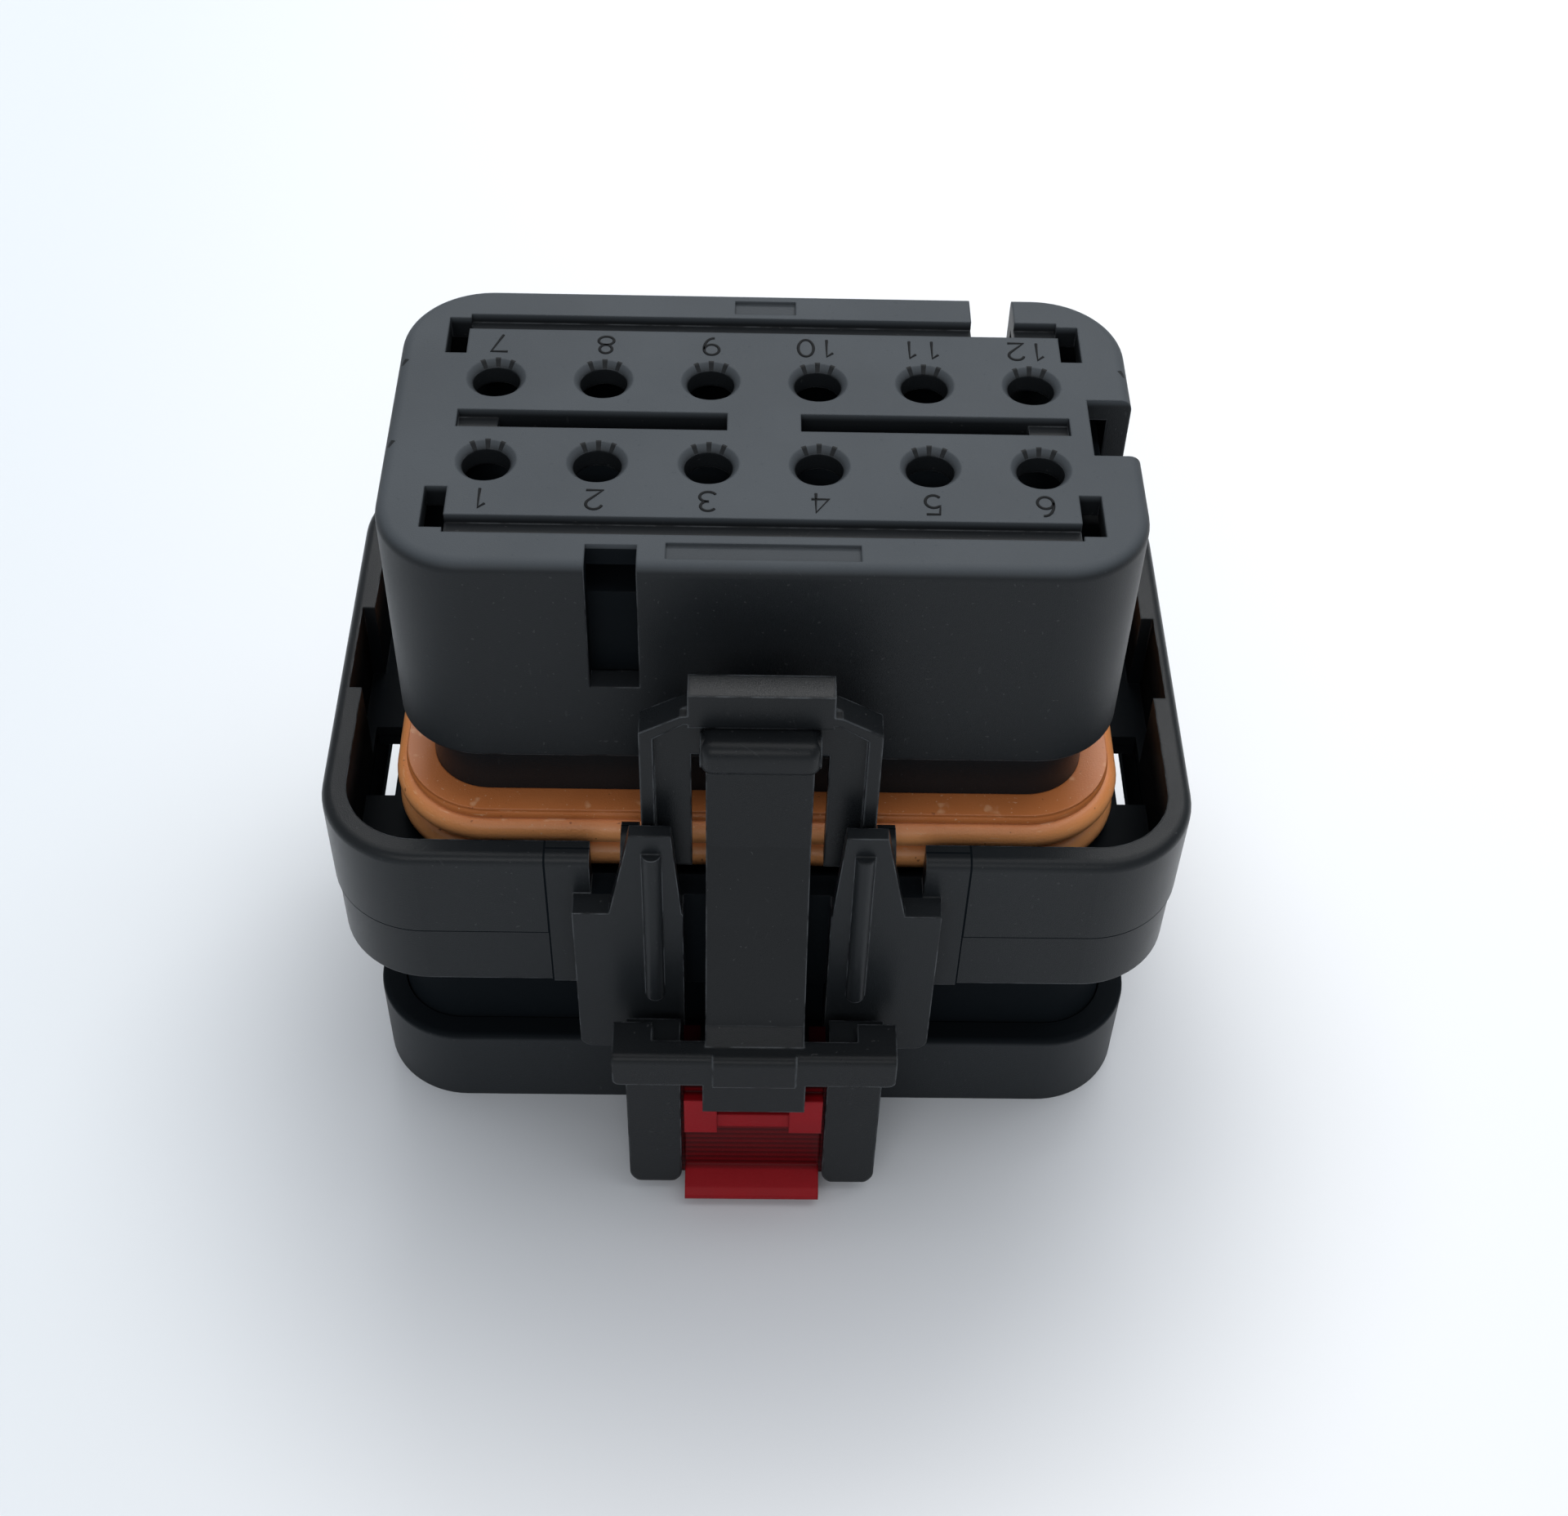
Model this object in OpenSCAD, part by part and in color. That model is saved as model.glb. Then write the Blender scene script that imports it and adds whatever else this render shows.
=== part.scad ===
// Sealed twelve-way plug connector for vehicle wiring, standing on its wire end.
// Origin: centre of the contact grid, on the rear face that the plug stands on. +Z points to the mating face.

/* [Contact grid] */
// Distance between contacts along a row
contact_pitch = 6.0; // [5.4:0.1:6.4]
// Distance between the two rows
row_spacing = 7.0; // [6.2:0.1:7.6]
// Diameter of a pin entry hole in the lock plate
pin_hole_d = 2.65; // [2.2:0.05:3.0]
// Width of the lead-in chamfer round a pin entry
pin_lead = 0.35; // [0.2:0.05:0.5]
// Diameter of a contact cavity
cavity_d = 3.8; // [3.4:0.1:4.4]
// Diameter of the hole in the cavity's front stop, which the header's pin passes
stop_hole_d = 2.3; // [2.0:0.05:2.3]
// Thickness of the cavity's front stop
stop_t = 1.5; // [1.2:0.1:1.8]
// Diameter of a wire hole in the rear cover
wire_hole_d = 3.2; // [2.6:0.1:4.0]

/* [Lock plate] */
// Width of the lock plate
plate_w = 41.2; // [40.6:0.1:42.4]
// Depth of the lock plate
plate_d = 23.4; // [22.8:0.1:24.2]
// Corner radius of the lock plate
plate_r = 5.0; // [4.4:0.1:5.6]
// Height of the lock plate from skirt edge to mating face
plate_h = 14.6; // [13.6:0.1:15.4]
// Wall of the skirt
plate_wall = 1.3; // [1.1:0.05:1.5]
// Thickness of the mating face
face_t = 1.4; // [1.0:0.1:1.6]
// Rounding of the edge between face and skirt
plate_fillet = 0.7; // [0.4:0.1:1.0]
// Travel of the lock plate from the open to the locked position
lock_travel = 1.6; // [1.2:0.1:1.8]

/* [Face details] */
// Distance from the centre line to the outer side of the corner slots
corner_slot_x = 18.05; // [17.9:0.05:18.4]
// Width of a corner slot
corner_slot_w = 1.2; // [1.0:0.05:1.4]
// Length of a corner slot
corner_slot_l = 3.2; // [2.8:0.1:3.6]
// Distance from the centre line to the far end of the corner slots
corner_slot_y = 8.85; // [8.7:0.05:9.1]
// Width of the shallow groove that joins two corner slots
groove_w = 1.35; // [1.0:0.05:1.5]
// Depth of the shallow groove
groove_t = 0.6; // [0.3:0.1:0.8]
// Width of a centre slot
centre_slot_w = 1.46; // [1.2:0.02:1.7]
// Length of a centre slot
centre_slot_l = 14.85; // [14:0.05:15.0]
// Distance from the centre line to the inner end of a centre slot
centre_slot_gap = 2.03; // [1.8:0.01:2.2]
// Length of the stepped end of a centre slot
centre_step_l = 2.2; // [1.8:0.1:2.6]
// Depth of the blank label recess in the face
label_t = 0.2; // [0.1:0.05:0.3]

/* [Keyways] */
// Width of the front keyway
front_key_w = 2.7; // [2.3:0.1:3.0]
// Distance of the front keyway from the centre line
front_key_x = -7.95; // [-8.4:0.05:-7.6]
// Height of the front and back keyways
key_h = 9.0; // [8:0.1:10]
// Depth of the front keyway, measured in from the skirt
front_key_d = 1.7; // [1.5:0.1:1.9]
// Width of the back keyway
back_key_w = 2.5; // [2.2:0.1:2.9]
// Distance of the back keyway from the centre line
back_key_x = 13.2; // [12.9:0.05:13.5]
// Depth of the back keyway, measured in from the skirt
back_key_d = 3.5; // [3.2:0.1:3.7]
// Width of the side keyway
side_key_w = 4.7; // [4.2:0.1:5.0]
// Depth of the side keyway, measured in from the skirt
side_key_d = 2.6; // [2.3:0.1:2.7]

/* [Housing] */
// Distance from the rear face to the edge of the shroud
rim_z = 27.2; // [26.6:0.1:27.6]
// Width of the shroud
shroud_w = 50.4; // [49.8:0.1:51.4]
// Depth of the shroud
shroud_d = 33.0; // [32.6:0.1:34.0]
// Corner radius of the shroud
shroud_r = 5.8; // [5.2:0.1:6.4]
// Wall of the shroud
shroud_wall = 1.45; // [1.3:0.05:1.6]
// Height of the shroud from its lower edge to its rim
shroud_h = 11.4; // [10.8:0.1:12]
// Rounding of the shroud's rim
rim_fillet = 0.6; // [0.3:0.1:0.8]
// Distance from the rim to the shroud's floor
shroud_deep = 5.9; // [5.7:0.1:6.2]
// Thickness of the shroud's floor
floor_t = 1.6; // [1.4:0.1:2]
// Distance from the rim to the mould parting step round the shroud
parting_drop = 6.7; // [6.2:0.1:7.2]
// Size of the parting step
parting_step = 0.15; // [0.1:0.05:0.2]
// Half-width of the smooth front panel between the two mould seams
seam_x = 12.05; // [11.6:0.05:12.4]
// Width of the rear body inside the rear cover
body_w = 45.0; // [44.6:0.1:45.4]
// Depth of the rear body inside the rear cover
body_d = 25.2; // [24.8:0.1:25.6]
// Corner radius of the rear body
body_r = 3.9; // [3.4:0.1:4.4]
// Wall round the pocket of the wire seal
pocket_wall = 1.3; // [1.1:0.1:1.5]

/* [Keyways in the shroud] */
// Width of the side recesses inside the shroud
recess_w = 6.8; // [6.2:0.1:7.4]
// Depth of a side recess, cut into the wall
recess_t = 0.75; // [0.6:0.05:0.85]
// Length of a drain window in the shroud's floor
drain_l = 5.6; // [5.2:0.1:6.0]
// Width of a drain window, measured in from the shroud's wall
drain_w = 1.75; // [1.5:0.05:1.9]
// Distance of the drain windows from the centre line, towards the latch
drain_y = 4.0; // [3.8:0.1:4.4]

/* [Ring seal] */
// Height of the ring seal
ring_h = 4.8; // [4.4:0.1:5.0]
// Radius of the two sealing beads
bead_r = 0.85; // [0.75:0.05:0.9]
// Distance from the tower wall to the crest of the beads
ring_t = 2.4; // [2.2:0.05:2.6]

/* [Wire seal and rear cover] */
// Thickness of the wire seal
wire_seal_t = 4.6; // [4:0.1:5.2]
// Diameter of a wire hole through the wire seal
wire_seal_hole_d = 2.1; // [1.6:0.1:2.5]
// Height of the rear cover
cover_h = 6.5; // [6:0.1:7]
// Thickness of the rear cover's plate
cover_t = 1.7; // [1.5:0.1:2]
// Wall of the rear cover
cover_wall = 1.55; // [1.4:0.05:1.7]
// Width of the snap windows at the ends of the rear cover
snap_w = 6.0; // [5:0.1:7]
// Height of the snap windows
snap_h = 1.8; // [1.6:0.1:2.0]

/* [Latch support] */
// Half-width of the front opening in the shroud
opening_x = 9.5; // [9.2:0.05:9.8]
// Height of the opening's sill above the rear face
sill_z = 24.3; // [24:0.1:24.6]
// How far the wings stand out from the shroud
wing_out = 1.5; // [1.3:0.1:1.7]
// Half-width across the wings
wing_x = 10.5; // [10.4:0.05:10.8]
// Height of the wings' lower edge above the rear face
wing_z = 11.2; // [10.8:0.1:11.8]
// Height of the guide posts above the rear face
post_z = 31.2; // [30.8:0.1:31.6]
// Half-width between the guide posts
channel_x = 4.2; // [4.1:0.05:4.4]
// Thickness of a guide post
post_t = 0.8; // [0.7:0.05:0.9]
// Radius of the rib on a guide post
rib_r = 0.55; // [0.45:0.05:0.6]

/* [Latch lever] */
// Height of the lever's pivot above the rear face
pivot_z = 27.8; // [27.6:0.1:28]
// Radius of the pivot pins
pivot_r = 0.85; // [0.75:0.05:0.9]
// Height of the lever's nose above the rear face
nose_z = 41.1; // [40.6:0.1:41.4]
// Half-width of the lever's nose
nose_x = 3.85; // [3.75:0.05:3.9]
// How far the catch on the nose reaches in behind the frame
hook_in = 0.6; // [0.5:0.05:0.65]
// Half-width of the latch frame
frame_x = 6.45; // [6.35:0.05:6.5]
// Width of the rims along the latch frame
frame_rim = 0.75; // [0.6:0.05:0.85]
// Thickness of the latch frame, without its rims
frame_t = 1.0; // [0.9:0.05:1.1]
// How far the rims stand out from the frame
rim_out = 0.6; // [0.4:0.05:0.7]
// Half-width of the tongue
tongue_x = 2.9; // [2.7:0.05:3.0]
// Thickness of the tongue
tongue_t = 1.4; // [1.2:0.05:1.5]
// Width of the windows beside the tongue
window_x = 0.8; // [0.6:0.05:0.9]
// Radius of the rounded head bar on the tongue
head_r = 0.95; // [0.85:0.05:1.05]
// Half-width of the crossbar
bar_x = 8.35; // [8.2:0.05:8.6]
// Height of the crossbar's upper edge above the rear face
bar_z = 15.9; // [15.7:0.1:16.2]
// Height of the crossbar
bar_h = 2.6; // [2.4:0.1:2.8]
// Depth of the crossbar
bar_t = 1.4; // [1.3:0.1:1.5]
// Rounding of the crossbar's upper front edge and lower corners
bar_r = 0.45; // [0.3:0.05:0.6]
// Distance from the grid's centre plane to the crossbar's front
bar_y = 22.2; // [22.0:0.1:22.4]
// Distance from the latch's end to the rear face
leg_z = 0.7; // [0.6:0.05:0.9]
// Half-width across the lever's legs
leg_x = 7.65; // [7.4:0.05:7.8]
// Width of a leg
leg_w = 3.25; // [3.1:0.05:3.35]
// Depth of a leg
leg_t = 2.4; // [2.2:0.05:2.4]
// Rounding of the legs' lower corners, seen from the front
foot_r = 1.5; // [1.2:0.1:1.5]
// Rounding of the legs' toes, seen from the side
toe_r = 0.5; // [0.3:0.1:0.8]

/* [Locking slide] */
// Travel of the locking slide
slide_travel = 2.0; // [1.6:0.1:2.2]
// Thickness of the slide's web
slide_t = 1.5; // [1.3:0.1:1.6]
// Height of the slide's arms above the rear face
arm_z = 15.2; // [14.6:0.1:15.3]
// Width of an arm, beside the tongue
arm_w = 1.0; // [0.8:0.05:1.0]
// Height of the slide's stop tabs
slide_tab_h = 3.5; // [3.2:0.1:3.6]
// Height of the bridge between the stop tabs
bridge_h = 1.3; // [1.1:0.1:1.5]
// How far the slide's lip stands out from its web
lip_out = 1.8; // [1.6:0.1:1.9]
// Thickness of the lip
lip_t = 0.9; // [0.8:0.05:1.1]

/* [Clearances] */
// Gap between lock plate and tower, all round
plate_gap = 0.2; // [0.15:0.05:0.25]
// Gap between the rear cover and the rear body
cover_gap = 0.1; // [0.05:0.05:0.15]
// Radial clearance of the pivot pins
pivot_gap = 0.05; // [0.03:0.01:0.08]
// Gap between moving pieces that pass each other
slide_gap = 0.2; // [0.15:0.05:0.25]

/* [Hidden] */
$fn = 48;
eps = 0.01;
columns = 6;

plastic = [0.13, 0.14, 0.15];
plate_grey = [0.30, 0.32, 0.34];
seal_orange = [0.74, 0.42, 0.22];
lock_red = [0.55, 0.08, 0.10];

// Heights above the rear face
mating_z = 45.3;
skirt_z = mating_z - plate_h;
tower_z = mating_z - face_t - lock_travel - plate_gap;
floor_z = rim_z - shroud_deep;
shroud_z = rim_z - shroud_h;
parting_z = rim_z - parting_drop;
ring_z = floor_z;
pocket_z = cover_t + wire_seal_t;

// Outlines
tower_w = plate_w - 2 * (plate_wall + plate_gap);
tower_d = plate_d - 2 * (plate_wall + plate_gap);
tower_r = plate_r - plate_wall - plate_gap;
cover_w = body_w + 2 * (cover_gap + cover_wall);
cover_d = body_d + 2 * (cover_gap + cover_wall);
cover_r = body_r + cover_gap + cover_wall;
pocket_w = body_w - 2 * pocket_wall;
pocket_d = body_d - 2 * pocket_wall;
pocket_r = body_r - pocket_wall;

// Front planes, given as distances from the grid's centre plane
shroud_y = shroud_d / 2;
wing_y = shroud_y + wing_out;
frame_back_y = shroud_y - shroud_wall + 0.15;
frame_y = frame_back_y + frame_t;
pivot_y = frame_back_y + 0.9;
window_z = nose_z - 5.1;
head_y = frame_y + 1;
head_z = nose_z - 3.6;
leg_y = bar_y - 0.9;

// Locking slide and its guides
seal_gap = 0.05;
bar_mid_x = 2.45;
tab_h = 2.8;
tab_t = 0.6;
web_x = leg_x - leg_w - slide_gap;
web_y = leg_y - 0.6;
web_top = 11;
rail_in = 0.3;
rail_w = 0.8;
groove_in = 0.55;
slide_tab_t = bar_y - tab_t - slide_gap - web_y;

module rounded_rect(w, d, r) {
    square([w - 2 * r, d], center = true);
    square([w, d - 2 * r], center = true);
    for (x = [-1, 1], y = [-1, 1]) translate([x * (w / 2 - r), y * (d / 2 - r)]) circle(r);
}

module rounded_block(w, d, r, h) {
    linear_extrude(h) rounded_rect(w, d, r);
}

// Sweeps a wall profile round a rounded rectangle: the profile's X is the distance outside the
// outline and its Y the height
module swept_wall(w, d, r) {
    for (k = [0:3]) {
        a = k % 2 == 0 ? w : d;
        b = k % 2 == 0 ? d : w;
        rotate(90 * k) {
            translate([a / 2 - r, b / 2 - r, 0]) rotate_extrude(angle = 90) translate([r, 0]) children();
            translate([0, b / 2, 0]) rotate([90, 0, 90]) linear_extrude(a - 2 * r, center = true) children();
        }
    }
}

// Wall profile with its outer upper edge rounded
module soft_wall(t, h, f) {
    translate([-t, 0]) square([t, h - f]);
    translate([-t, 0]) square([t - f, h]);
    translate([-f, h - f]) circle(f);
}

// Places children at the twelve contact positions
module at_contacts() {
    for (i = [0:columns - 1], row = [-1, 1])
        translate([(i - (columns - 1) / 2) * contact_pitch, row * row_spacing / 2, 0]) children();
}

// Extrudes a side view, drawn as distance in front of the grid plane and height, across the width
module side_profile(x0, x1) {
    translate([x0, 0, 0]) rotate([90, 0, 90]) linear_extrude(x1 - x0) mirror([1, 0]) children();
}

// Extrudes a front view, drawn as X and height, between two distances in front of the grid plane
module front_profile(y0, y1) {
    translate([0, -y0, 0]) rotate([90, 0, 0]) linear_extrude(y1 - y0) children();
}

// ---- Lock plate: face with pin entries, skirt that slides over the tower ----
module lock_plate() {
    color(plate_grey) difference() {
        translate([0, 0, skirt_z]) {
            swept_wall(plate_w, plate_d, plate_r) soft_wall(plate_wall, plate_h, plate_fillet);
            translate([0, 0, plate_h - face_t])
                rounded_block(plate_w - 2 * plate_fillet, plate_d - 2 * plate_fillet,
                              plate_r - plate_fillet, face_t);
        }
        at_contacts() pin_entry();
        face_slots();
        label_recesses();
        keyways();
    }
}

module pin_entry() {
    translate([0, 0, mating_z - face_t - eps]) cylinder(h = face_t + 2 * eps, d = pin_hole_d);
    translate([0, 0, mating_z - pin_lead])
        cylinder(h = pin_lead + eps, d1 = pin_hole_d, d2 = pin_hole_d + 2 * pin_lead);
}

module face_slots() {
    through_z = mating_z - face_t - eps;
    for (x = [-1, 1]) {
        for (y = [-1, 1])
            translate([x * (corner_slot_x - corner_slot_w / 2), y * (corner_slot_y - corner_slot_l / 2),
                       through_z])
                linear_extrude(face_t + 1) square([corner_slot_w, corner_slot_l], center = true);
        translate([x * (centre_slot_gap + (centre_slot_l - centre_step_l) / 2), 0, through_z])
            linear_extrude(face_t + 1) square([centre_slot_l - centre_step_l, centre_slot_w], center = true);
        translate([x * (centre_slot_gap + centre_slot_l / 2), 0, mating_z - groove_t])
            linear_extrude(1) square([centre_slot_l, centre_slot_w], center = true);
    }
    for (y = [-1, 1])
        translate([0, y * (corner_slot_y + 0.35 - groove_w / 2), mating_z - groove_t])
            linear_extrude(1) square([2 * (corner_slot_x - corner_slot_w), groove_w], center = true);
}

// Plain recesses where such a plate carries its moulded marks, left blank
module label_recesses() {
    translate([-5.1, -11.0, mating_z - label_t]) cube([10.2, 1.2, 1]);
    translate([-1.7, 9.6, mating_z - label_t]) cube([3.5, 1.2, 1]);
}

module keyways() {
    translate([front_key_x - front_key_w / 2, -plate_d / 2 - 1, mating_z - key_h])
        cube([front_key_w, front_key_d + 1, key_h + 1]);
    translate([back_key_x - back_key_w / 2, plate_d / 2 - back_key_d, mating_z - key_h])
        cube([back_key_w, back_key_d + 1, key_h + 1]);
    translate([plate_w / 2 - side_key_d, -side_key_w / 2, mating_z - key_h])
        cube([side_key_d + 1, side_key_w, key_h + 1]);
}

// ---- Ring seal: two beads and a flat band that grips the tower ----
module ring_seal() {
    color(seal_orange) translate([0, 0, ring_z])
        swept_wall(tower_w, tower_d, tower_r) ring_profile();
}

module ring_profile() {
    band_t = ring_t - 0.75;
    square([band_t, ring_h]);
    for (z = [1.15, 3.15]) translate([ring_t - bead_r, z]) circle(bead_r);
    translate([band_t - 0.4, ring_h - 0.5]) circle(0.5);
}

// ---- Housing: tower with the contact cavities, shroud, rear body and latch support ----
module housing() {
    color(plastic) difference() {
        union() {
            tower();
            shroud();
            rear_body();
            latch_support();
        }
        at_contacts() cavity();
        translate([0, 0, -1]) rounded_block(pocket_w, pocket_d, pocket_r, pocket_z + 1);
        side_windows();
    }
}

module tower() {
    translate([0, 0, floor_z - floor_t])
        rounded_block(tower_w, tower_d, tower_r, tower_z - floor_z + floor_t);
}

module cavity() {
    cylinder(h = tower_z - stop_t, d = cavity_d);
    translate([0, 0, tower_z - stop_t - eps]) cylinder(h = stop_t + 1, d = stop_hole_d);
}

// Outer wall with its parting step, its floor and the opening that the latch frame stands in
module shroud() {
    difference() {
        shroud_walls();
        translate([-opening_x, -shroud_y - 1, sill_z]) cube([2 * opening_x, shroud_wall + 1 + eps, shroud_h]);
    }
    translate([0, 0, floor_z - floor_t])
        rounded_block(shroud_w - shroud_wall, shroud_d - shroud_wall, shroud_r - shroud_wall / 2, floor_t);
}

module shroud_walls() {
    translate([0, 0, parting_z])
        swept_wall(shroud_w, shroud_d, shroud_r) soft_wall(shroud_wall, rim_z - parting_z, rim_fillet);
    translate([0, 0, shroud_z])
        swept_wall(shroud_w - 2 * parting_step, shroud_d - 2 * parting_step, shroud_r - parting_step)
            translate([parting_step - shroud_wall, 0])
                square([shroud_wall - parting_step, parting_z - shroud_z + eps]);
    translate([-seam_x, -shroud_y, shroud_z])
        cube([2 * seam_x, shroud_wall, parting_z - shroud_z + 1]);
}

// Rear body that carries the pocket of the wire seal and the cover's snap ramps
module rear_body() {
    translate([0, 0, cover_t]) rounded_block(body_w, body_d, body_r, floor_z - cover_t - eps);
    for (x = [-1, 1])
        translate([x * (body_w / 2 - 0.5), 0, snap_z() + slide_gap])
            snap_ramp(x);
}

function snap_z() = cover_h - 2.6;

module snap_ramp(side) {
    length = snap_w - 2 * slide_gap;
    reach = 0.5 + cover_gap + 0.7;
    translate([0, length / 2, 0]) rotate([90, 0, 0]) linear_extrude(length)
        polygon([[0, 0], [side * 0.6, 0], [side * reach, snap_h - 2 * slide_gap - 0.4],
                 [side * reach, snap_h - 2 * slide_gap], [0, snap_h - 2 * slide_gap]]);
}

// Guide posts, wings and pivot cheeks at the front of the shroud
module latch_support() {
    for (side = [0, 1]) mirror([side, 0, 0]) {
        front_profile(shroud_y - shroud_wall, wing_y) wing_outline();
        front_profile(wing_y - post_t, wing_y) post_outline();
        post_rib();
        pivot_cheek();
    }
}

module wing_outline() {
    corner = 0.8;
    translate([channel_x, wing_z]) square([wing_x - channel_x - corner, sill_z - wing_z]);
    translate([channel_x, wing_z + corner]) square([wing_x - channel_x, sill_z - wing_z - corner]);
    translate([wing_x - corner, wing_z + corner]) circle(corner);
}

module post_outline() {
    polygon([[channel_x, sill_z - 1], [channel_x + 0.6, post_z], [channel_x + 2.9, post_z],
             [channel_x + 4.2, sill_z], [channel_x + 4.2, sill_z - 1]]);
}

module post_rib() {
    rib_x = channel_x + 1.7;
    translate([rib_x, -wing_y, wing_z + 5.5]) cylinder(h = post_z - wing_z - 7, r = rib_r);
}

module pivot_cheek() {
    inner = frame_x + slide_gap;
    difference() {
        translate([inner, 0, 0]) side_profile(0, 1) {
            translate([shroud_y - shroud_wall, sill_z - 1])
                square([wing_y - post_t - shroud_y + shroud_wall + eps, pivot_z - sill_z + 1]);
            translate([pivot_y, pivot_z]) circle(pivot_r + 0.7);
        }
        translate([inner - 1, -pivot_y, pivot_z]) rotate([0, 90, 0]) cylinder(h = 3, r = pivot_r + pivot_gap);
    }
}

// Side recesses for the header's ribs, and a drain window through the shroud's floor at each
module side_windows() {
    inner = shroud_w / 2 - shroud_wall;
    for (side = [0, 1]) mirror([side, 0, 0]) {
        translate([inner - 1, -recess_w / 2, floor_z]) cube([1 + recess_t, recess_w, rim_z]);
        translate([inner - drain_w, -drain_y - drain_l / 2, floor_z - 1.5 * floor_t])
            cube([drain_w, drain_l, 2 * floor_t]);
    }
}

// ---- Latch lever: frame with nose and windows, tongue, crossbar and two legs ----
module latch_lever() {
    color(plastic) difference() {
        union() {
            latch_frame();
            frame_rims();
            nose_hook();
            tongue();
            pivot_pins();
            crossbar();
            legs();
        }
        slide_grooves();
    }
}

// Half outline of the frame, with its chamfered shoulder
module frame_half() {
    foot_z = pivot_z - 1.2;
    polygon([[-eps, window_z], [-eps, nose_z], [nose_x, nose_z], [nose_x, nose_z - 1.4],
             [nose_x + 0.4, nose_z - 1.6], [frame_x, nose_z - 2.9], [frame_x, foot_z],
             [tongue_x + window_x, foot_z], [tongue_x + window_x, window_z]]);
}

module latch_frame() {
    for (side = [0, 1]) mirror([side, 0, 0])
        front_profile(frame_back_y, frame_y) frame_half();
    front_profile(frame_y - eps, frame_y + rim_out)
        translate([-nose_x, nose_z - 2.4]) square([2 * nose_x, 2.4]);
}

module frame_rims() {
    shoulder = nose_z - 1.4;
    for (side = [0, 1]) mirror([side, 0, 0])
        front_profile(frame_y - eps, frame_y + rim_out)
            polygon([[frame_x, pivot_z - 1.2], [frame_x, nose_z - 2.9], [nose_x + 0.4, shoulder - 0.2],
                     [nose_x - 1, shoulder], [nose_x - 1, shoulder - frame_rim],
                     [nose_x + 0.2, shoulder - frame_rim], [frame_x - frame_rim, nose_z - 3.3],
                     [frame_x - frame_rim, pivot_z - 1.2]]);
}

// Catch on the inner side of the nose, with a lead-in slope
module nose_hook() {
    side_profile(-nose_x + 0.5, nose_x - 0.5)
        polygon([[frame_back_y + eps, nose_z - 0.3], [frame_back_y - 0.2, nose_z - 0.3],
                 [frame_back_y - hook_in, nose_z - 1.8], [frame_back_y - hook_in, nose_z - 2.3],
                 [frame_back_y + eps, nose_z - 2.3]]);
}

module tongue() {
    side_profile(-tongue_x, tongue_x) tongue_outline();
    translate([-tongue_x - 0.3, -head_y, head_z]) rotate([0, 90, 0])
        cylinder(h = 2 * tongue_x + 0.6, r = head_r);
}

module tongue_outline() {
    front = [[head_y, head_z], [head_y, pivot_z + 1.7], [head_y + 1.3, pivot_z - 3.8],
             [bar_y - 1.8, bar_z + 1], [bar_y - 0.8, bar_z - 0.2]];
    polygon(concat(front, [[bar_y - 0.8, bar_z - 1.3], [bar_y - bar_t - 0.2, bar_z - 1.2]],
                   [for (i = [3:-1:0]) front[i] - [tongue_t, 0]]));
}

module pivot_pins() {
    for (side = [0, 1]) mirror([side, 0, 0])
        translate([frame_x - 1, -pivot_y, pivot_z]) rotate([0, 90, 0])
            cylinder(h = 1 + slide_gap + 0.9, r = pivot_r);
}

module crossbar() {
    intersection() {
        front_profile(bar_y - 2 * bar_t, bar_y + 1)
            round_foot(-bar_x, 2 * bar_x, bar_z - bar_h, bar_z, bar_r);
        union() {
            bar_section(bar_x, bar_y, bar_t);
            for (side = [0, 1]) mirror([side, 0, 0])
                translate([bar_x - 2.3, -bar_y + bar_t - eps, bar_z - bar_h]) cube([2.3, 1.3, bar_h]);
        }
    }
    bar_section(bar_mid_x, bar_y + 0.15, bar_t);
    translate([-tongue_x - 0.15, -bar_y, bar_z - bar_h - tab_h]) cube([2 * tongue_x + 0.3, tab_t, tab_h + 1]);
}

// Length of bar with its upper front edge rounded
module bar_section(half, front, depth) {
    side_profile(-half, half) {
        translate([front - depth, bar_z - bar_h]) square([depth - bar_r, bar_h]);
        translate([front - bar_r - eps, bar_z - bar_h]) square([bar_r + eps, bar_h - bar_r]);
        translate([front - bar_r, bar_z - bar_r]) circle(bar_r);
    }
}

// Legs rounded at their ends, seen from the front and from the side
module legs() {
    back = leg_y - leg_t;
    top = bar_z - 0.5;
    for (x = [-leg_x, leg_x - leg_w])
        intersection() {
            side_profile(x, x + leg_w) {
                translate([back, leg_z + toe_r]) square([leg_t, top - leg_z - toe_r]);
                translate([back, leg_z]) square([leg_t - toe_r, toe_r + eps]);
                translate([leg_y - toe_r, leg_z + toe_r]) circle(toe_r);
            }
            front_profile(back - 1, leg_y + 1) round_foot(x, leg_w, leg_z, top, foot_r);
        }
}

// Upright strip with its two lower corners rounded
module round_foot(x, w, low, high, r) {
    translate([x, low + r]) square([w, high - low - r]);
    translate([x + r, low]) square([w - 2 * r, r + eps]);
    for (c = [x + r, x + w - r]) translate([c, low + r]) circle(r);
}

// Grooves in the legs' inner faces that guide the locking slide
module slide_grooves() {
    for (side = [0, 1]) mirror([side, 0, 0])
        translate([leg_x - leg_w - 1, -web_y + rail_in - slide_gap, leg_z - 1])
            cube([1 + groove_in, rail_w + 2 * slide_gap, web_top + slide_travel + slide_gap + 1 - leg_z]);
}

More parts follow.
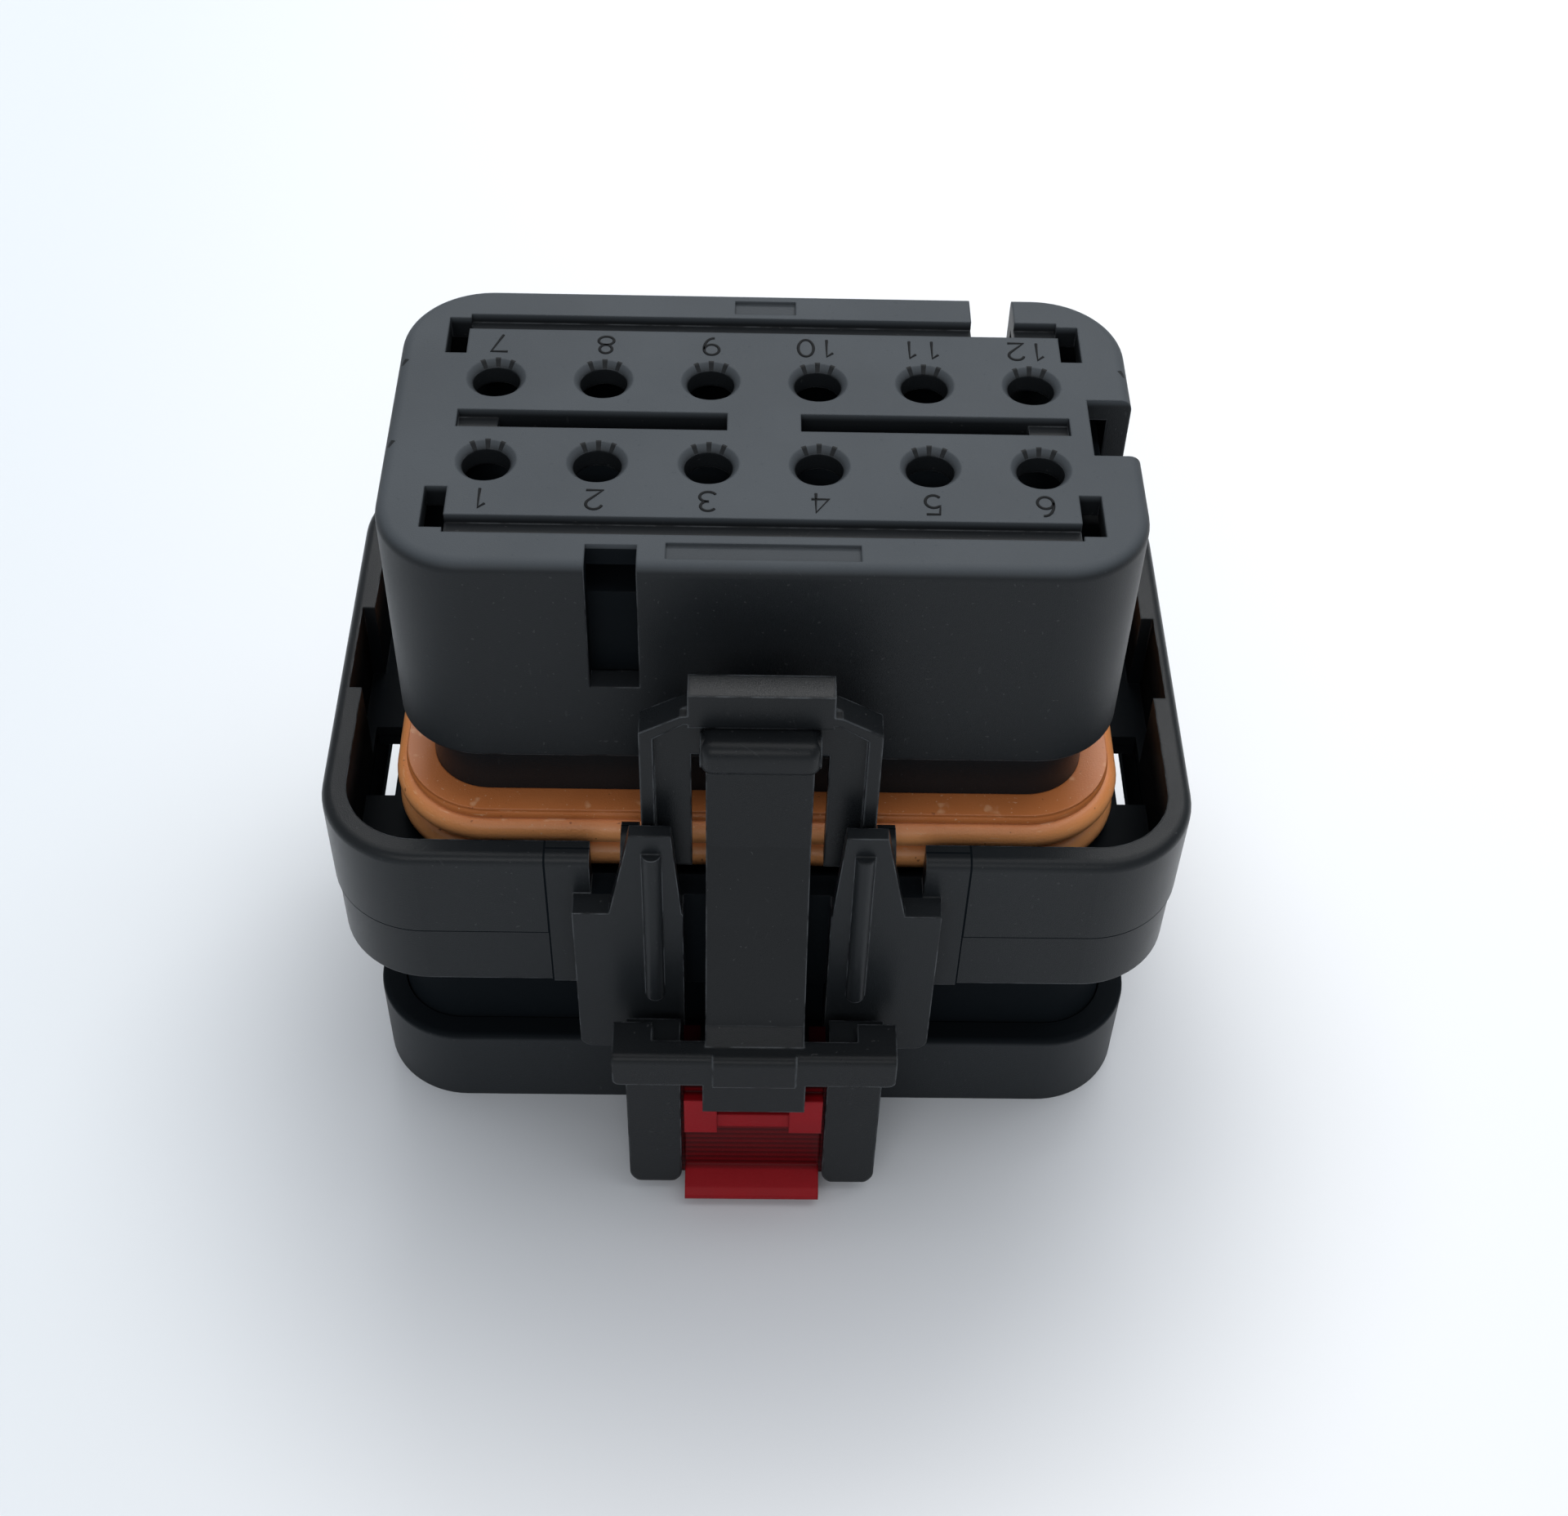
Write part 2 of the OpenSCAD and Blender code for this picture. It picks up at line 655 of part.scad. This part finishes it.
// ---- Locking slide: web with side rails, stop tabs, bridge and a lip for the finger ----
module locking_slide() {
    low = leg_z + 0.1;
    tab_z = web_top - 0.6 - slide_tab_h;
    color(lock_red) {
        translate([-web_x, -web_y, low]) cube([2 * web_x, slide_t, web_top - low]);
        for (side = [0, 1]) mirror([side, 0, 0]) {
            translate([web_x - 1, -web_y + rail_in, low]) cube([1 + groove_in, rail_w, web_top - low]);
            translate([web_x - 2, -web_y - slide_tab_t, tab_z]) cube([2, slide_tab_t + eps, slide_tab_h]);
            translate([web_x - arm_w, -web_y, web_top - eps]) cube([arm_w, slide_t, arm_z - web_top]);
        }
        translate([-web_x, -web_y - 0.5, tab_z + 0.4]) cube([2 * web_x, 0.5 + eps, bridge_h]);
        side_profile(-web_x, web_x)
            polygon([[web_y - eps, leg_z - 0.1], [web_y + lip_out - 0.3, leg_z - 0.1],
                     [web_y + lip_out, leg_z + 0.2], [web_y + lip_out, leg_z + lip_t - 0.4],
                     [web_y + lip_out - 0.4, leg_z + lip_t], [web_y - eps, leg_z + lip_t + 0.6]]);
    }
}

// ---- Wire seal: soft mat with a hole for each wire ----
module wire_seal() {
    color(seal_orange) difference() {
        translate([0, 0, cover_t])
            rounded_block(pocket_w - 2 * seal_gap, pocket_d - 2 * seal_gap, pocket_r - seal_gap, wire_seal_t);
        at_contacts() translate([0, 0, cover_t - 1]) cylinder(h = wire_seal_t + 2, d = wire_seal_hole_d);
    }
}

// ---- Rear cover: cap that holds the wire seal in its pocket ----
module rear_cover() {
    color(plastic) difference() {
        union() {
            rounded_block(cover_w - cover_wall, cover_d - cover_wall, cover_r - cover_wall / 2, cover_t);
            swept_wall(cover_w, cover_d, cover_r) soft_wall(cover_wall, cover_h, 0.4);
        }
        at_contacts() translate([0, 0, -1]) cylinder(h = cover_t + 2, d = wire_hole_d);
        for (x = [-1, 1])
            translate([x * cover_w / 2, 0, snap_z() + snap_h / 2])
                cube([2 * cover_wall + 1, snap_w, snap_h], center = true);
    }
}

housing();
lock_plate();
ring_seal();
latch_lever();
locking_slide();
wire_seal();
rear_cover();
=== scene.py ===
from math import cos, pi, radians, sin

import bpy
from mathutils import Matrix, Vector


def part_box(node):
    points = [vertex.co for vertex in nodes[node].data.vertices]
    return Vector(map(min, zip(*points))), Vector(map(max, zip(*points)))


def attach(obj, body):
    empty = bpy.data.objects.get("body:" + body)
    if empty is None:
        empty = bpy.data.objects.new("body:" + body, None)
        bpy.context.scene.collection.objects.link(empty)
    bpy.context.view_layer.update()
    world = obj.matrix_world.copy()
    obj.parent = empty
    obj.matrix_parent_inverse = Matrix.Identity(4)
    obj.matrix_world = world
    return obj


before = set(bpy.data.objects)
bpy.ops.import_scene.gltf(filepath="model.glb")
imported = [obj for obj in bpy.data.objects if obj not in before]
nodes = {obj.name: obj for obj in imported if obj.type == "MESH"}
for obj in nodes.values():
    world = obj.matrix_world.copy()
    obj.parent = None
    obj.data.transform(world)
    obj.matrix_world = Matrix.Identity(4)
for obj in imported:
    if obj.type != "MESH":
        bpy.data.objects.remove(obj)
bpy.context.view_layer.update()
MM = 0.001


# ---- Rear cover ----
# A moulded cap of glass-filled black nylon that snaps over the rear body and holds the wire seal in its pocket.
# It is satin rather than glossy, with a faint flow pattern from the mould and a painted highlight that makes its
# edges slightly paler.
class Maths:
    """A socket, or a plain number, that adds its Math nodes as an expression is worked out."""

    def __init__(self, material, socket):
        self.material = material
        self.socket = socket

    def calculate(self, operation, *others):
        inputs = {0: self.socket}
        for place, other in enumerate(others, 1):
            inputs[place] = other
        return self.material.add("ShaderNodeMath", {"operation": operation}, inputs)

    def reversed(self, operation, other):
        return self.material.add("ShaderNodeMath", {"operation": operation}, {0: other, 1: self.socket})

    def __add__(self, other):
        return self.calculate("ADD", other)

    def __radd__(self, other):
        return self.calculate("ADD", other)

    def __sub__(self, other):
        return self.calculate("SUBTRACT", other)

    def __rsub__(self, other):
        return self.reversed("SUBTRACT", other)

    def __mul__(self, other):
        return self.calculate("MULTIPLY", other)

    def __rmul__(self, other):
        return self.calculate("MULTIPLY", other)

    def __abs__(self):
        return self.calculate("ABSOLUTE")

    def __lt__(self, other):
        return self.calculate("LESS_THAN", other)

    def __gt__(self, other):
        return self.calculate("GREATER_THAN", other)

    def largest(self, *others):
        """The largest of this and the others, which joins masks."""
        result = self
        for other in others:
            result = result.calculate("MAXIMUM", other)
        return result

    def step(self, low, high):
        """0 below low and 1 above high, smooth between them."""
        settings = {"interpolation_type": "SMOOTHSTEP"}
        return self.material.add("ShaderNodeMapRange", settings, {"Value": self.socket, 1: low, 2: high})


class Finish:
    """A procedural material whose nodes are added one call at a time."""

    def __init__(self, name):
        self.material = bpy.data.materials.new(name)
        self.material.use_nodes = True
        self.tree = self.material.node_tree
        self.shader = self.tree.nodes["Principled BSDF"]

    def plug(self, socket, value):
        if isinstance(value, Maths):
            value = value.socket
        if isinstance(value, bpy.types.NodeSocket):
            self.tree.links.new(value, socket)
        else:
            socket.default_value = value

    def add(self, kind, settings=None, inputs=None, output=0):
        node = self.tree.nodes.new(kind)
        for name, value in (settings or {}).items():
            setattr(node, name, value)
        for name, value in (inputs or {}).items():
            self.plug(node.inputs[name], value)
        return Maths(self, node.outputs[output])

    def place(self):
        """Position on the object, in millimetres, as a vector."""
        where = self.add("ShaderNodeTexCoord", output="Object")
        return self.add("ShaderNodeVectorMath", {"operation": "SCALE"}, {0: where, "Scale": 1 / MM})

    def axes(self, where):
        split = self.add("ShaderNodeSeparateXYZ", inputs={0: where})
        outputs = split.socket.node.outputs
        return Maths(self, outputs[0]), Maths(self, outputs[1]), Maths(self, outputs[2])

    def noise(self, where, scale, detail=3.0, roughness=0.5):
        settings = {"noise_dimensions": "3D"}
        inputs = {"Vector": where, "Scale": scale, "Detail": detail, "Roughness": roughness}
        return self.add("ShaderNodeTexNoise", settings, inputs)

    def blend(self, factor, first, second):
        """Colour that goes from first to second as factor goes from 0 to 1."""
        node = self.tree.nodes.new("ShaderNodeMix")
        node.data_type = "RGBA"
        self.plug(node.inputs["Factor"], factor)
        self.plug(node.inputs["A"], first)
        self.plug(node.inputs["B"], second)
        return Maths(self, node.outputs["Result"])

    def stretch(self, where, scale):
        return self.add("ShaderNodeVectorMath", {"operation": "MULTIPLY"}, {0: where, 1: scale})

    def current(self, name):
        """What feeds one of the shader's inputs so far."""
        return Maths(self, self.shader.inputs[name].links[0].from_socket)

    def shine(self, level):
        self.shader.inputs["Specular IOR Level"].default_value = level

    def set(self, **values):
        for name, value in values.items():
            self.plug(self.shader.inputs[name.replace("_", " ")], value)

    def shade(self, mask, color):
        """Paints shade: mixes in a plain dark surface where mask is 1, for grooves and corners that light hardly
        reaches.
        """
        dark = self.add("ShaderNodeBsdfDiffuse", None, {"Color": color})
        mixed = self.add("ShaderNodeMixShader", None, {0: mask, 1: self.shader.outputs[0], 2: dark})
        self.plug(self.tree.nodes["Material Output"].inputs["Surface"], mixed)

    def edges(self, radius):
        """1 along edges, where the softened normal leaves the true one."""
        soft = self.add("ShaderNodeBevel", {"samples": 4}, {"Radius": radius * MM})
        true = self.add("ShaderNodeNewGeometry", output="True Normal")
        agreement = self.add("ShaderNodeVectorMath", {"operation": "DOT_PRODUCT"}, {0: soft, 1: true}, "Value")
        return (1 - agreement).step(0.01, 0.10)

    def relief(self, height, distance, edge_radius):
        """Bump from a height field, on top of softened edges."""
        soft = self.add("ShaderNodeBevel", {"samples": 6}, {"Radius": edge_radius * MM})
        return self.add("ShaderNodeBump", None, {"Height": height, "Distance": distance * MM, "Normal": soft})


def grey(value, blue=3.5):
    """A cool grey; blue says how far it leans from neutral."""
    return (value, value * (1 + 0.05 * blue), value * (1 + 0.1 * blue), 1)


# Colour of painted shade, put in recesses and corners that light hardly reaches, and of the fine seam grooves.
painted_shade_and_seam_colour = grey(0.0055, 7.0)


def scratches(finish, where, turn):
    """Thin straight scuffs, few and far apart, as 0 to 1."""
    turned = finish.add("ShaderNodeVectorRotate", {"rotation_type": "Z_AXIS"}, {"Vector": where, "Angle": turn})
    line = finish.noise(finish.stretch(turned, (0.35, 6.0, 1.0)), 1.0, 1.0, 0.4)
    patch = finish.noise(where, 0.22, 1.0, 0.5)
    return line.step(0.73, 0.78) * patch.step(0.5, 0.62)


def nylon(name, tone, gloss, edge_radius=0.18, shine=0.17, paling=0.5):
    """Moulded glass-filled nylon: fine grain, broad cloudy flow marks, specks of dust, faint scuffs and a painted
    highlight along its edges.
    """
    finish = Finish(name)
    where = finish.place()
    flow = finish.noise(where, 0.16, 4.0, 0.55)
    grain = finish.noise(where, 14.0, 2.0, 0.6)
    dust = finish.noise(where, 5.0, 0.0, 0.5).step(0.82, 0.85)
    scuffs = scratches(finish, where, 0.5) + scratches(finish, where, 2.2) * 0.7
    base = finish.blend(flow, grey(tone * 0.86), grey(tone * 1.16))
    # Painted highlight: edges turn paler in patches, as if light caught them.
    painted_edge_highlight = finish.edges(edge_radius * 0.6) * finish.noise(where, 0.7, 2.0, 0.5).step(0.36, 0.6)
    base = finish.blend(painted_edge_highlight * paling, base, grey(tone * 14.0, 2.0))
    marked = finish.blend(scuffs * 0.35, base, grey(tone * 3.2, 1.5))
    finish.set(Base_Color=finish.blend(dust * 0.25, marked, grey(0.10, 0.5)))
    finish.set(Roughness=gloss + (flow - 0.5) * 0.16 + (grain - 0.5) * 0.08 + dust * 0.2)
    finish.shine(shine)
    finish.set(Normal=finish.relief(grain + flow * 0.8, 0.012, edge_radius))
    return finish


def dress(name, finish):
    """Gives a CAD node its finish."""
    data = nodes[name].data
    data.materials.clear()
    data.materials.append(finish.material)


cover_rim_z = 6.5


def cover_finish():
    """Black nylon with painted shade on its upper rim, where the shroud shades it."""
    finish = nylon("cover_nylon", 0.0165, 0.44)
    x, y, z = finish.axes(finish.place())
    # Painted shade along the upper rim.
    finish.shade(z.step(cover_rim_z - 0.4, cover_rim_z - 0.1) * 0.9, painted_shade_and_seam_colour)
    return finish


dress("rear_cover", cover_finish())


# ---- Wire seal ----
# A soft mat of orange silicone with a hole for each wire. It is cast in one piece and pressed into the rear pocket,
# and shows only through the wire holes of the rear cover.
def silicone():
    """Orange silicone: glossy and waxy, cloudy in colour, painted paler below the upper bead and darker on top as
    painted light and shade, with painted highlight streaks and specks stuck to it.
    """
    finish = Finish("orange_silicone")
    bead_z, crest_z, top_z = 24.5, 25.3, 25.9
    where = finish.place()
    cloud = finish.noise(where, 0.35, 3.0, 0.5)
    skin = finish.noise(where, 9.0, 3.0, 0.6)
    dark_specks = finish.noise(where, 2.6, 1.0, 0.5).step(0.745, 0.775)
    pale_specks = finish.noise(where, 6.5, 0.0, 0.5).step(0.80, 0.83)
    base = finish.blend(cloud, (0.62, 0.20, 0.055, 1), (0.78, 0.285, 0.095, 1))
    x, y, z = finish.axes(where)
    # Painted light and shade: paler below the upper bead, darker on the top band.
    base = finish.blend(z.step(bead_z, crest_z + 0.2), (0.98, 0.43, 0.165, 1), base)
    base = finish.blend(z.step(crest_z, top_z) * 0.5, base, (0.45, 0.135, 0.040, 1))
    # Painted highlight streaks along the beads.
    painted_highlight_streaks = finish.noise(finish.stretch(where, (0.5, 0.5, 5.0)), 1.3, 2.0, 0.6).step(0.64, 0.72)
    base = finish.blend(painted_highlight_streaks * 0.35, base, (0.95, 0.62, 0.38, 1))
    speckled = finish.blend(dark_specks * 0.7, base, (0.30, 0.09, 0.03, 1))
    finish.set(Base_Color=finish.blend(pale_specks * 0.5, speckled, (0.85, 0.60, 0.40, 1)))
    finish.set(Roughness=0.33 + (skin - 0.5) * 0.25 + dark_specks * 0.2)
    finish.shine(0.5)
    finish.set(Normal=finish.relief(skin + cloud * 2.0, 0.02, 0.12))
    return finish


orange_silicone = silicone()
dress("wire_seal", orange_silicone)


# ---- Housing ----
# One black moulding: contact tower, shroud, rear body, wings and guide posts. The tool that makes it has a sliding
# core at the front, which leaves two upright seams and a parting line round the shroud.
def housing_finish():
    """Black nylon with fine dark grooves where the tool parts, and painted shade in its neck, its ring gap, behind
    the latch and on the tower under the plate's skirt.
    """
    finish = nylon("housing_nylon", 0.0118, 0.32, paling=0.7)
    seam_x, seam_half, parting_half = 12.05, 0.06, 0.08
    rim_z, sill_z, parting_z, shroud_z, skirt_z = 27.2, 24.3, 20.5, 15.8, 31.6
    front_y, body_y, wall_y, panel_y, opening_x = -16.56, -14.9, -13.5, -15.6, 9.45
    x, y, z = finish.axes(finish.place())

    seam = (abs(abs(x) - seam_x) < seam_half) * (y < wall_y) * (z > shroud_z)
    parting = (abs(z - parting_z) < parting_half) * (abs(x) > seam_x).largest(y > 0)
    panel = (abs(y - panel_y) < seam_half) * (abs(x) < seam_x) * (z > rim_z - 0.3)
    groove = (seam + parting + panel).calculate("MINIMUM", 1.0)

    corner_x, corner_y, inner_r, recess_x, recess_y = 19.4, 10.7, 4.39, 24.6, 3.45
    out_x = (abs(x) - corner_x).largest(0.0)
    out_y = (abs(y) - corner_y).largest(0.0)
    within = (out_x * out_x + out_y * out_y) < inner_r * inner_r
    recess = (abs(x) < recess_x) * (abs(y) < recess_y)
    gap = within.largest(recess) * (z > shroud_z + 1.0) * (1 - z.step(24.0, rim_z))
    neck = (z < shroud_z) * (z > cover_rim_z - 1.0) * (y > body_y)
    behind_latch = (abs(x) < opening_x) * (z < sill_z + 0.1) * (y < body_y) * (y > front_y)
    # Painted shade in the ring gap, the neck, behind the latch and on the tower walls hidden under the plate's skirt.
    shadow = gap.largest(neck, behind_latch, z > skirt_z)
    finish.shade((shadow * 0.9).largest(groove), painted_shade_and_seam_colour)
    return finish


dress("housing", housing_finish())


# ---- Ring seal ----
# The ribbed band that seals the plug in its header, moulded from the same orange silicone as the wire seal. It is
# stretched over the foot of the tower, where its two beads press against the header's wall.
dress("ring_seal", orange_silicone)


# ---- Lock plate ----
# The grey-black front plate that covers the contacts and locks them when it is pushed home. Its face is matte from
# use, with light scuffs, and the position numbers are cut into the face, to be read from the back of the plug.
def entry_nicks(x, y):
    """Painted shade for short nicks on the back of each pin entry's lead-in, as 0 to 1."""
    pitch, half_row, bore_r, outer_r, nicks_per_turn = 6.0, 3.5, 1.25, 1.78, 12
    across = x.calculate("FLOORED_MODULO", pitch) - pitch / 2
    back = y - ((y > 0) * 2 - 1) * half_row
    reach = (across * across + back * back).calculate("SQRT")
    turn = back.calculate("ARCTAN2", across) * (nicks_per_turn / (2 * pi))
    nick = abs((turn + 0.5).calculate("FRACT") - 0.5) < 0.17
    return nick * (reach > bore_r) * (reach < outer_r) * (back > reach * 0.7)


def plate_finish():
    """Dark nylon whose mating face is spark-textured and rougher, and painted paler than the polished skirt as a
    painted sheen of the light above.
    """
    finish = nylon("lock_plate_nylon", 0.0120, 0.46, shine=0.19)
    face_z = 45.3
    where = finish.place()
    x, y, z = finish.axes(where)
    face = z.step(face_z - 0.5, face_z - 0.03)
    cloud = finish.noise(where, 0.11, 3.0, 0.5)
    speck = finish.noise(where, 9.0, 2.0, 0.7)
    # Painted sheen: the mating face gets a paler grey for the light it reflects.
    pale = finish.blend(cloud, grey(0.048, 3.2), grey(0.068, 3.2))
    pale = finish.blend(speck.step(0.62, 0.75) * 0.25, pale, grey(0.10, 1.5))
    # Painted shade in the entry nicks.
    pale = finish.blend(entry_nicks(x, y) * 0.85, pale, grey(0.002))
    # Painted shade inside the front keyway.
    key_x, key_half, key_z, front_y, back_y = -7.95, 1.45, 36.4, -11.4, -9.6
    in_keyway = (abs(x - key_x) < key_half) * (z > key_z) * (y > front_y) * (z < face_z - 0.3) * (y < back_y)
    finish.shade(in_keyway * 0.9, painted_shade_and_seam_colour)
    finish.set(Base_Color=finish.blend(face, finish.current("Base Color"), pale))
    finish.set(Roughness=finish.current("Roughness") + face * 0.12)
    return finish


dress("lock_plate", plate_finish())

digit_w = 0.95 * MM
digit_h = 1.50 * MM
stroke_r = 0.115 * MM


def arc(cx, cy, rx, ry, start, stop, steps=14):
    """Points of an elliptical arc in the digit's unit box, angles in degrees."""
    angles = [radians(start + (stop - start) * i / steps) for i in range(steps + 1)]
    return [(cx + rx * cos(a), cy + ry * sin(a)) for a in angles]


digit_strokes = {
    "0": [arc(0.5, 0.5, 0.46, 0.5, 0, 360, 24)],
    "1": [[(0.25, 0.78), (0.6, 1.0), (0.6, 0.0)]],
    "2": [arc(0.5, 0.72, 0.45, 0.28, 165, -35) + [(0.04, 0.0), (0.98, 0.0)]],
    "3": [arc(0.46, 0.75, 0.42, 0.25, 150, -90) + arc(0.46, 0.26, 0.48, 0.26, 90, -150)],
    "4": [[(0.74, 0.0), (0.74, 1.0), (0.02, 0.3), (1.0, 0.3)]],
    "5": [[(0.9, 1.0), (0.16, 1.0), (0.1, 0.56)] + arc(0.48, 0.33, 0.46, 0.33, 130, -140)],
    "6": [arc(0.62, 0.38, 0.58, 0.62, 85, 175) + arc(0.5, 0.31, 0.45, 0.31, 180, 540, 22)],
    "7": [[(0.0, 1.0), (0.98, 1.0), (0.36, 0.0)]],
    "8": [arc(0.5, 0.75, 0.37, 0.25, -90, 270, 20), arc(0.5, 0.25, 0.46, 0.25, 90, 450, 20)],
    "9": [arc(0.38, 0.62, 0.58, 0.62, 265, 355) + arc(0.5, 0.69, 0.45, 0.31, 0, 360, 22)],
}


def position_numbers():
    """All the numbers as one curve, each stroke a fine half-sunk thread along the face."""
    curve = bpy.data.curves.new("position_numbers", "CURVE")
    curve.dimensions = "3D"
    curve.bevel_depth = stroke_r
    curve.bevel_resolution = 1
    curve.use_fill_caps = True
    face_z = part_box("lock_plate")[1].z
    columns = 6
    contact_pitch = 6.0 * MM
    number_y = 6.55 * MM
    for position in range(2 * columns):
        row, column = divmod(position, columns)
        across = (column - (columns - 1) / 2) * contact_pitch
        centre = Vector((across, (2 * row - 1) * number_y, face_z))
        word = str(position + 1)
        advance = digit_w * 1.35
        for place, digit in enumerate(word):
            shift = (place - (len(word) - 1) / 2) * advance
            for stroke in digit_strokes[digit]:
                spline = curve.splines.new("POLY")
                spline.points.add(len(stroke) - 1)
                for point, (u, v) in zip(spline.points, stroke):
                    offset = Vector((-shift - (u - 0.5) * digit_w, -(v - 0.5) * digit_h, -stroke_r * 0.45))
                    point.co = (*(centre + offset), 1)
    numbers = bpy.data.objects.new("position_numbers", curve)
    bpy.context.scene.collection.objects.link(numbers)
    return numbers


def number_finish():
    """The strokes are painted dark, as painted shadow in the cut lines, so they read darker than the face."""
    finish = Finish("number_strokes")
    where = finish.place()
    paling = finish.noise(where, 1.2, 3.0, 0.6)
    finish.set(Base_Color=finish.blend(paling, grey(0.003), grey(0.009)))
    finish.set(Roughness=0.55 + paling * 0.2)
    finish.shine(0.15)
    return finish


numbers = position_numbers()
numbers.data.materials.append(number_finish().material)
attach(numbers, "lock_plate")


# ---- Latch lever ----
# The latch is one black moulding: frame with nose, tongue with a round head bar, crossbar and two legs for the thumb.
# It is polished more than the housing by handling, and a rounded pad covers the head bar.
latch_nylon = nylon("latch_nylon", 0.0085, 0.30, 0.25, paling=0.8)
dress("latch_lever", latch_nylon)


def head_pad():
    """Rounded pad moulded round the tongue's head bar, where the thumb rests."""
    half_w, front, back, low, high, rounding = 3.24, 18.35, 16.1, 36.35, 38.6, 0.75
    mesh = bpy.data.meshes.new("head_pad")
    corners = [(x, -y, z) for x in (-half_w, half_w) for y in (front, back) for z in (low, high)]
    sides = [(0, 1, 3, 2), (4, 6, 7, 5), (0, 4, 5, 1), (2, 3, 7, 6), (0, 2, 6, 4), (1, 5, 7, 3)]
    mesh.from_pydata([Vector(corner) * MM for corner in corners], [], sides)
    pad = bpy.data.objects.new("head_pad", mesh)
    bpy.context.scene.collection.objects.link(pad)
    soften = pad.modifiers.new("soften", "BEVEL")
    soften.width = rounding * MM
    soften.segments = 6
    for face in mesh.polygons:
        face.use_smooth = True
    mesh.materials.append(latch_nylon.material)
    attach(pad, "latch")


head_pad()


# ---- Locking slide ----
# A red nylon slide that runs in grooves between the latch's legs. Pushed up behind the crossbar, it stops the latch
# from being pressed.
def red_finish():
    """Red nylon, with painted shade on the web between the legs, banded across its ribs, and on the arms behind the
    crossbar.
    """
    finish = Finish("red_nylon")
    where = finish.place()
    flow = finish.noise(where, 0.3, 3.0, 0.5)
    grain = finish.noise(where, 12.0, 2.0, 0.6)
    x, y, z = finish.axes(where)
    red = finish.blend(flow, (0.20, 0.003, 0.0065, 1), (0.29, 0.005, 0.010, 1))
    tab_y, web_y, shoulder_z, arm_z, ribs_per_mm = -21.1, -20.75, 10.6, 11.2, 1.9
    # Painted shade on the web, banded darker and lighter across its ribs.
    ribs = (z * ribs_per_mm).calculate("FRACT").step(0.3, 0.7)
    web = y.step(tab_y, web_y) * (0.62 + ribs * 0.2)
    finish.set(Base_Color=finish.blend(web, red, (0.010, 0.0003, 0.0006, 1)))
    # Painted shade on the arms behind the crossbar.
    finish.shade(z.step(shoulder_z, arm_z) * 0.93, (0.006, 0.001, 0.0015, 1))
    finish.shine(0.12)
    finish.set(Roughness=0.42 + (flow - 0.5) * 0.2 + (grain - 0.5) * 0.1)
    finish.set(Normal=finish.relief(grain + flow, 0.012, 0.2))
    return finish


dress("locking_slide", red_finish())


# ---- Floor, light and camera ----
# A pale studio floor with painted shade that deepens towards the part and its left side, a broad soft light from
# above and behind, a low strip and a weak front fill for the edges, and a camera that looks down on the mating face.
def studio_floor():
    half = 1.5
    mesh = bpy.data.meshes.new("studio_floor")
    corners = [(-half, -half, 0), (half, -half, 0), (half, half, 0), (-half, half, 0)]
    mesh.from_pydata(corners, [], [(0, 1, 2, 3)])
    floor = bpy.data.objects.new("studio_floor", mesh)
    bpy.context.scene.collection.objects.link(floor)
    finish = Finish("pale_floor")
    where = finish.place()
    x, y, z = finish.axes(where)
    mottle = finish.noise(where, 0.02, 2.0, 0.5)
    # Painted shade: the floor darkens towards the front at the sides, and towards the left.
    nearness = (y * -1.0 - x * 0.35 + mottle * 12.0).step(-60.0, 150.0)
    sideness = abs(x).step(10.0, 95.0)
    tint = finish.blend(nearness * sideness, (0.93, 0.95, 0.975, 1), (0.74, 0.79, 0.845, 1))
    tint = finish.blend((x * -1.0).step(-5.0, 75.0), tint, (0.80, 0.85, 0.895, 1))
    # Painted shadow under and just in front of the part.
    painted_contact_shadow = 1 - (x * x * 0.7 + (y + 14.0) * (y + 14.0)).calculate("SQRT").step(14.0, 40.0)
    finish.set(Base_Color=finish.blend(painted_contact_shadow * 0.42, tint, (0.30, 0.33, 0.38, 1)))
    finish.set(Roughness=0.75)
    finish.shine(0.2)
    mesh.materials.append(finish.material)


def soft_light(name, place, aim, size, power):
    data = bpy.data.lights.new(name, "AREA")
    data.shape = "RECTANGLE"
    data.size, data.size_y = size
    data.energy = power
    lamp = bpy.data.objects.new(name, data)
    lamp.location = place
    lamp.rotation_euler = (Vector(aim) - Vector(place)).to_track_quat("-Z", "Y").to_euler()
    bpy.context.scene.collection.objects.link(lamp)


def studio_world():
    world = bpy.data.worlds.new("studio_world")
    world.use_nodes = True
    background = world.node_tree.nodes["Background"]
    background.inputs["Color"].default_value = (0.93, 0.96, 1.0, 1)
    background.inputs["Strength"].default_value = 0.42
    bpy.context.scene.world = world


def view_camera():
    """Camera above and in front of the latch, turned by the small angles that the view needs."""
    pitch, yaw, roll = radians(48.38), radians(1.72), radians(2.04)
    camera_data = bpy.data.cameras.new("camera")
    camera_data.lens = 51.56
    camera_data.sensor_width = 36.0
    camera_data.clip_start = 0.005
    camera = bpy.data.objects.new("camera", camera_data)
    turn = Matrix.Rotation(-yaw, 4, "Z") @ Matrix.Rotation(pi / 2 - pitch, 4, "X") @ Matrix.Rotation(roll, 4, "Z")
    camera.matrix_world = Matrix.Translation((-1.13 * MM, -95.8 * MM, 125.4 * MM)) @ turn
    bpy.context.scene.collection.objects.link(camera)
    bpy.context.scene.camera = camera


studio_floor()
soft_light("overhead", (0.08, 0.16, 0.52), (0, 0, 0.02), (0.70, 0.60), 2.1)
soft_light("edge_strip", (0.05, 0.30, 0.34), (0, 0, 0.03), (0.34, 0.05), 0.40)
soft_light("front_fill", (-0.1, -0.6, 0.45), (0, 0, 0.02), (0.5, 0.3), 1.15)
studio_world()
view_camera()
bpy.context.scene.view_settings.view_transform = "Standard"
